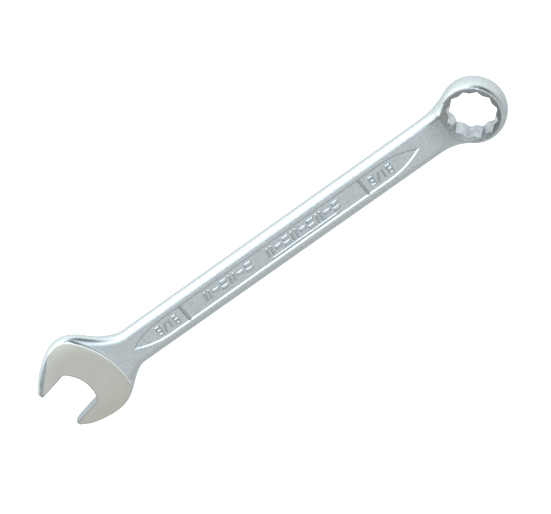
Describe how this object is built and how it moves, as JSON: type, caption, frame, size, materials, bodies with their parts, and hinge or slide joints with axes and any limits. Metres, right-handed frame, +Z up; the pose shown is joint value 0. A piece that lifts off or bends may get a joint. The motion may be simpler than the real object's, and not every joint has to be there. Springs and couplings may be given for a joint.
{
  "type": "combination wrench",
  "caption": "Forged combination wrench: angled open-end jaw at one end, raised twelve-point ring at the other, recessed panels on a flat shank.",
  "frame": {"origin": "middle of the tool's length and width, at the height of its lowest point when it lies on its back face", "axes": "+X along the shank from the open end to the ring end, +Y across the shank, +Z up out of the front face, the way the ring end lifts"},
  "size_m": [0.1818, 0.032, 0.013],
  "materials": {
    "satin_chrome": "satin, bead-blasted chrome plate",
    "ground_chrome": "satin chrome plate over fine-ground faces"
  },
  "bodies": {
    "root": {"open_end_head": "ground_chrome", "shank": "satin_chrome", "ring_head": "satin_chrome", "size_marks_front": "satin_chrome", "size_marks_back": "satin_chrome", "centre_marks_front": "satin_chrome", "centre_marks_back": "satin_chrome"}
  },
  "joints": []
}
